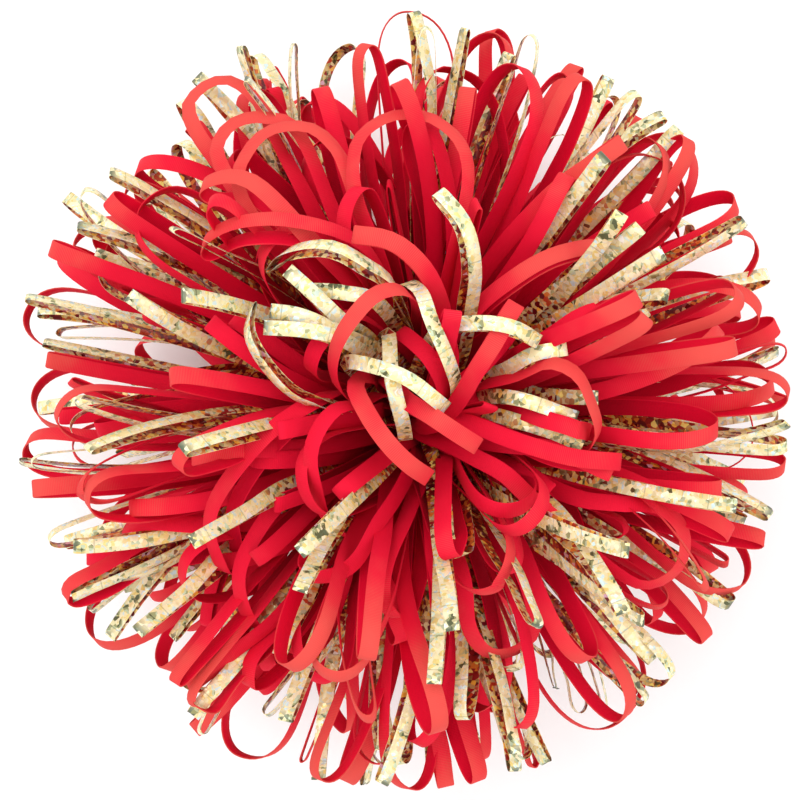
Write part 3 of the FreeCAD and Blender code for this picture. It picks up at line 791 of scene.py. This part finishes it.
def deep_loops():
    """The loops behind them, spread evenly from the floor to the crown."""
    fullest_level, full_within = 5, 15
    loops = []
    for ring in range(RINGS):
        level = LOWEST_RING + ring * RING_STEP
        share = 1.0 if level < fullest_level else 0.62
        if abs(level - fullest_level) < full_within:
            share = 1.25
        count = round(LOOPS_ROUND_MIDDLE * math.cos(math.radians(level)) * share)
        for place in range(count):
            half_place = 0.5 * (ring % 2)
            azimuth = 360.0 * (place + half_place + rng.uniform(-0.45, 0.45)) / count
            elevation = level + rng.uniform(-0.5, 0.5) * RING_STEP
            red_share = 0.53 if level < 15 else 0.88
            kind = "red" if rng.random() < red_share else "gold"
            loops.append(random_loop(kind, azimuth, elevation))
    return loops


def spread_apart(loops):
    """Pushes loops that run through each other apart, more gently towards the tied middle.

    Then a loop that would look wider than the ball from the camera is drawn in to its size.
    """
    sizes = [len(loop["path"]) for loop in loops]
    owner = np.repeat(range(len(loops)), sizes)
    starts = np.cumsum([0] + sizes)
    points = np.concatenate([loop["path"] for loop in loops])
    smooth = np.exp(-(np.arange(-6, 7) / 3.0) ** 2)
    smooth /= smooth.sum()
    push_share, nothing = 0.3, 1e-7
    for _ in range(SPREAD_ROUNDS):
        tree = KDTree(len(points))
        for i, p in enumerate(points):
            tree.insert(p, i)
        tree.balance()
        push = np.zeros_like(points)
        away = np.linalg.norm(points - KNOT, axis=1)
        for i in np.nonzero(away > SPREAD_FROM)[0]:
            for _place, k, gap in tree.find_range(points[i], STRIP_CLEARANCE):
                if owner[k] != owner[i] and gap > nothing:
                    push[i] += (points[i] - points[k]) / gap * (STRIP_CLEARANCE - gap) * push_share
        for first, last in zip(starts[:-1], starts[1:]):
            for axis in range(3):
                push[first:last, axis] = np.convolve(push[first:last, axis], smooth, "same")
        length = np.linalg.norm(push, axis=1)
        push *= np.minimum(1.0, LONGEST_PUSH / np.maximum(length, nothing))[:, None]
        ease = np.clip((away - SPREAD_FROM) / SPREAD_EASE, 0, 1)
        points += push * ease[:, None]
    for i, loop in enumerate(loops):
        path = points[starts[i]:starts[i + 1]]
        nearer = 1 - (path[:, 2] - KNOT[2]) / CAMERA_DISTANCE
        widest = (np.linalg.norm(path[:, :2] - KNOT[:2], axis=1) / nearer).max()
        loop["path"] = path[0] + (path - path[0]) * min(1.0, WIDEST_REACH / widest)


def add_ribbons():
    """Every ring of loops, a red piece and a gold piece each, in place of the plain ones."""
    loops = front_loops() + deep_loops()
    spread_apart(loops)
    for ring in range(RINGS):
        for name, strip in STRIPS.items():
            mesh = StripMesh(strip["section"])
            for loop in loops:
                if loop["ring"] == ring and loop["kind"] == name:
                    mesh.add(loop)
            piece = mesh.build("%s_ribbon_%02d" % (name, ring + 1), strip["material"])
            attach(piece, "ball")
            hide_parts("%s_loops_%02d" % (name, ring + 1))


def pleated_knot(name, nodes, low, high):
    """Half of the knot: the ribbons' middles crushed into pleats round the hub."""
    around, rows = 240, 14
    pleats, pleat_depth, waist = 24, 0.09, 0.74
    flattest = 0.04
    points, faces = [], []
    for i in range(rows + 1):
        t = i / rows
        z = low + (high - low) * t
        for j in range(around):
            a = 2 * math.pi * j / around
            swell = math.sqrt(max(flattest, 1 - ((z - KNOT[2]) / PACK_RADIUS) ** 2))
            pleat = 1 + pleat_depth * math.sin(pleats * a + 2.0 * math.sin(3 * t + 5 * a))
            radius = waist * PACK_RADIUS * swell * pleat
            points.append((radius * math.cos(a), radius * math.sin(a), z))
    for i in range(rows):
        for j in range(around):
            k = (j + 1) % around
            faces.append((i * around + j, i * around + k, (i + 1) * around + k, (i + 1) * around + j))
    faces.append(tuple(range(around - 1, -1, -1)))
    faces.append(tuple(rows * around + j for j in range(around)))
    mesh = bpy.data.meshes.new(name)
    mesh.from_pydata(points, [], faces)
    layer = mesh.uv_layers.new(name="strip")
    mean_radius = 20  # millimetres
    for corner, loop in enumerate(mesh.loops):
        x, y, z = mesh.vertices[loop.vertex_index].co
        layer.data[corner].uv = (z / MM, math.atan2(y, x) * mean_radius)
    add_value(mesh, "shade", "POINT", [0.2] * len(mesh.vertices))
    # The knot takes the darkest painted shade of the ribbon's colour
    add_value(mesh, "away", "POINT", [0.1] * len(mesh.vertices))
    add_value(mesh, "inner", "FACE", [0.0] * len(mesh.polygons))
    mesh.materials.append(red_cloth)
    mesh.polygons.foreach_set("use_smooth", [True] * len(mesh.polygons))
    piece = bpy.data.objects.new(name, mesh)
    bpy.context.scene.collection.objects.link(piece)
    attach(piece, "ball")
    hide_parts(*nodes)


add_ribbons()
pleated_knot("lower_knot", ["lower_ribbon_pack"], KNOT[2] - KNOT_HALF, KNOT[2] - TIE_HALF)
pleated_knot("upper_knot", ["upper_ribbon_pack"], KNOT[2] + TIE_HALF, KNOT[2] + KNOT_HALF)

# ---------------------------------------------------------------- handle and hardware

# Each finish: light tone, dark tone, roughness, grain, depth of the grain, metallic
HARD_LOOKS = {
    "white_plastic": ((0.86, 0.86, 0.84), (0.80, 0.80, 0.77), 0.35, 900, 0.00004, 0.0),
    "black_plastic": ((0.035, 0.035, 0.037), (0.02, 0.02, 0.022), 0.45, 1200, 0.00006, 0.0),
    "black_grip": ((0.05, 0.05, 0.052), (0.025, 0.025, 0.027), 0.8, 700, 0.00025, 0.0),
    "nylon": ((0.84, 0.81, 0.73), (0.76, 0.73, 0.64), 0.4, 900, 0.00003, 0.0),
    "zinc": ((0.70, 0.70, 0.68), (0.55, 0.55, 0.54), 0.35, 1500, 0.00003, 1.0),
}


def dress_hardware():
    """A procedural finish for each CAD piece that stays visible."""
    finishes = {}
    for slot, (light, dark, rough, grain, depth, metal) in HARD_LOOKS.items():
        material, shader = moulded_material(slot + "_finish", light, dark, rough, grain, depth)
        shader.inputs["Metallic"].default_value = metal
        finishes[slot] = material
    for part in frame["record"]["subparts"]:
        if part["material_slot"] in finishes:
            piece = frame["nodes"][part["node"]]
            piece.data.materials.clear()
            piece.data.materials.append(finishes[part["material_slot"]])


dress_hardware()

# ---------------------------------------------------------------- floor, light and camera

def add_floor():
    """A plain pale floor."""
    half = 4.0
    mesh = bpy.data.meshes.new("floor")
    corners = [(-half, -half, 0), (half, -half, 0), (half, half, 0), (-half, half, 0)]
    mesh.from_pydata(corners, [], [(0, 1, 2, 3)])
    floor = bpy.data.objects.new("floor", mesh)
    bpy.context.scene.collection.objects.link(floor)
    material, tree, shader = new_material("floor_paper")
    place = node(tree, "ShaderNodeTexCoord").outputs["Object"]
    soft = node(tree, "ShaderNodeTexNoise", {"Vector": place, "Scale": 3.0})
    tones = [(0.3, (0.96, 0.96, 0.96)), (0.7, (0.98, 0.98, 0.98))]
    colour = colour_ramp(tree, soft.outputs["Fac"], tones)
    tree.links.new(colour, shader.inputs["Base Color"])
    shader.inputs["Roughness"].default_value = 0.9
    mesh.materials.append(material)


def add_light(name, place, target, size, power):
    """A square soft light aimed at a point."""
    light = bpy.data.lights.new(name, "AREA")
    light.shape = "SQUARE"
    light.size = size
    light.energy = power
    lamp = bpy.data.objects.new(name, light)
    bpy.context.scene.collection.objects.link(lamp)
    lamp.location = place
    lamp.rotation_mode = "QUATERNION"
    lamp.rotation_quaternion = (Vector(place) - Vector(target)).to_track_quat("Z", "Y")


def add_world():
    """An even pale surround."""
    world = bpy.data.worlds.new("studio")
    world.use_nodes = True
    surround = world.node_tree.nodes["Background"]
    surround.inputs["Color"].default_value = (1.0, 1.0, 1.0, 1.0)
    surround.inputs["Strength"].default_value = 1.08
    bpy.context.scene.world = world


def add_camera():
    """The camera looks straight down on the front of the ball."""
    camera = bpy.data.cameras.new("camera")
    camera.sensor_width = 36.0
    camera.lens = 126.0
    camera.clip_start = 0.05
    camera.clip_end = 50.0
    holder = bpy.data.objects.new("camera", camera)
    bpy.context.scene.collection.objects.link(holder)
    holder.location = KNOT + UP * CAMERA_DISTANCE
    bpy.context.scene.camera = holder


add_floor()
add_world()
add_light("key", place=(-0.5, 0.6, 2.0), target=KNOT, size=1.4, power=17.0)
add_light("fill", place=(1.2, -0.6, 1.6), target=KNOT, size=1.4, power=7.0)
add_camera()
bpy.context.scene.view_settings.view_transform = "Standard"
